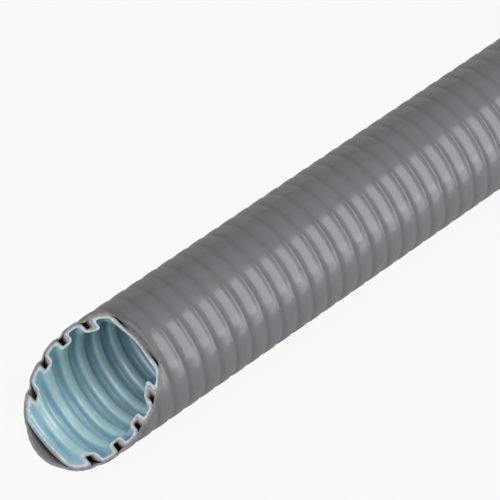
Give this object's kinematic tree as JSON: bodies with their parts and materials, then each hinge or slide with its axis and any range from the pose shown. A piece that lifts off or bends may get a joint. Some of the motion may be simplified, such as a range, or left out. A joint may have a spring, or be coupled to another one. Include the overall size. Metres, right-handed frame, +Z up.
{
  "type": "corrugated conduit",
  "caption": "Length of pliable corrugated cable conduit with a smooth outer sheath, sawn on the slant at one end and square at the other.",
  "frame": {"origin": "on the floor, below the middle of the piece", "axes": "+X along the bore from the slanted end to the square end, +Z up; the slanted end's long side is at the bottom"},
  "size_m": [1, 0.04, 0.04],
  "materials": {
    "tube_plastic": "satin, pale grey outside with a light blue slip layer in the bore",
    "sheath_plastic": "satin mid grey"
  },
  "bodies": {
    "root": {"corrugated_tube": "tube_plastic", "outer_sheath": "sheath_plastic"}
  },
  "joints": []
}
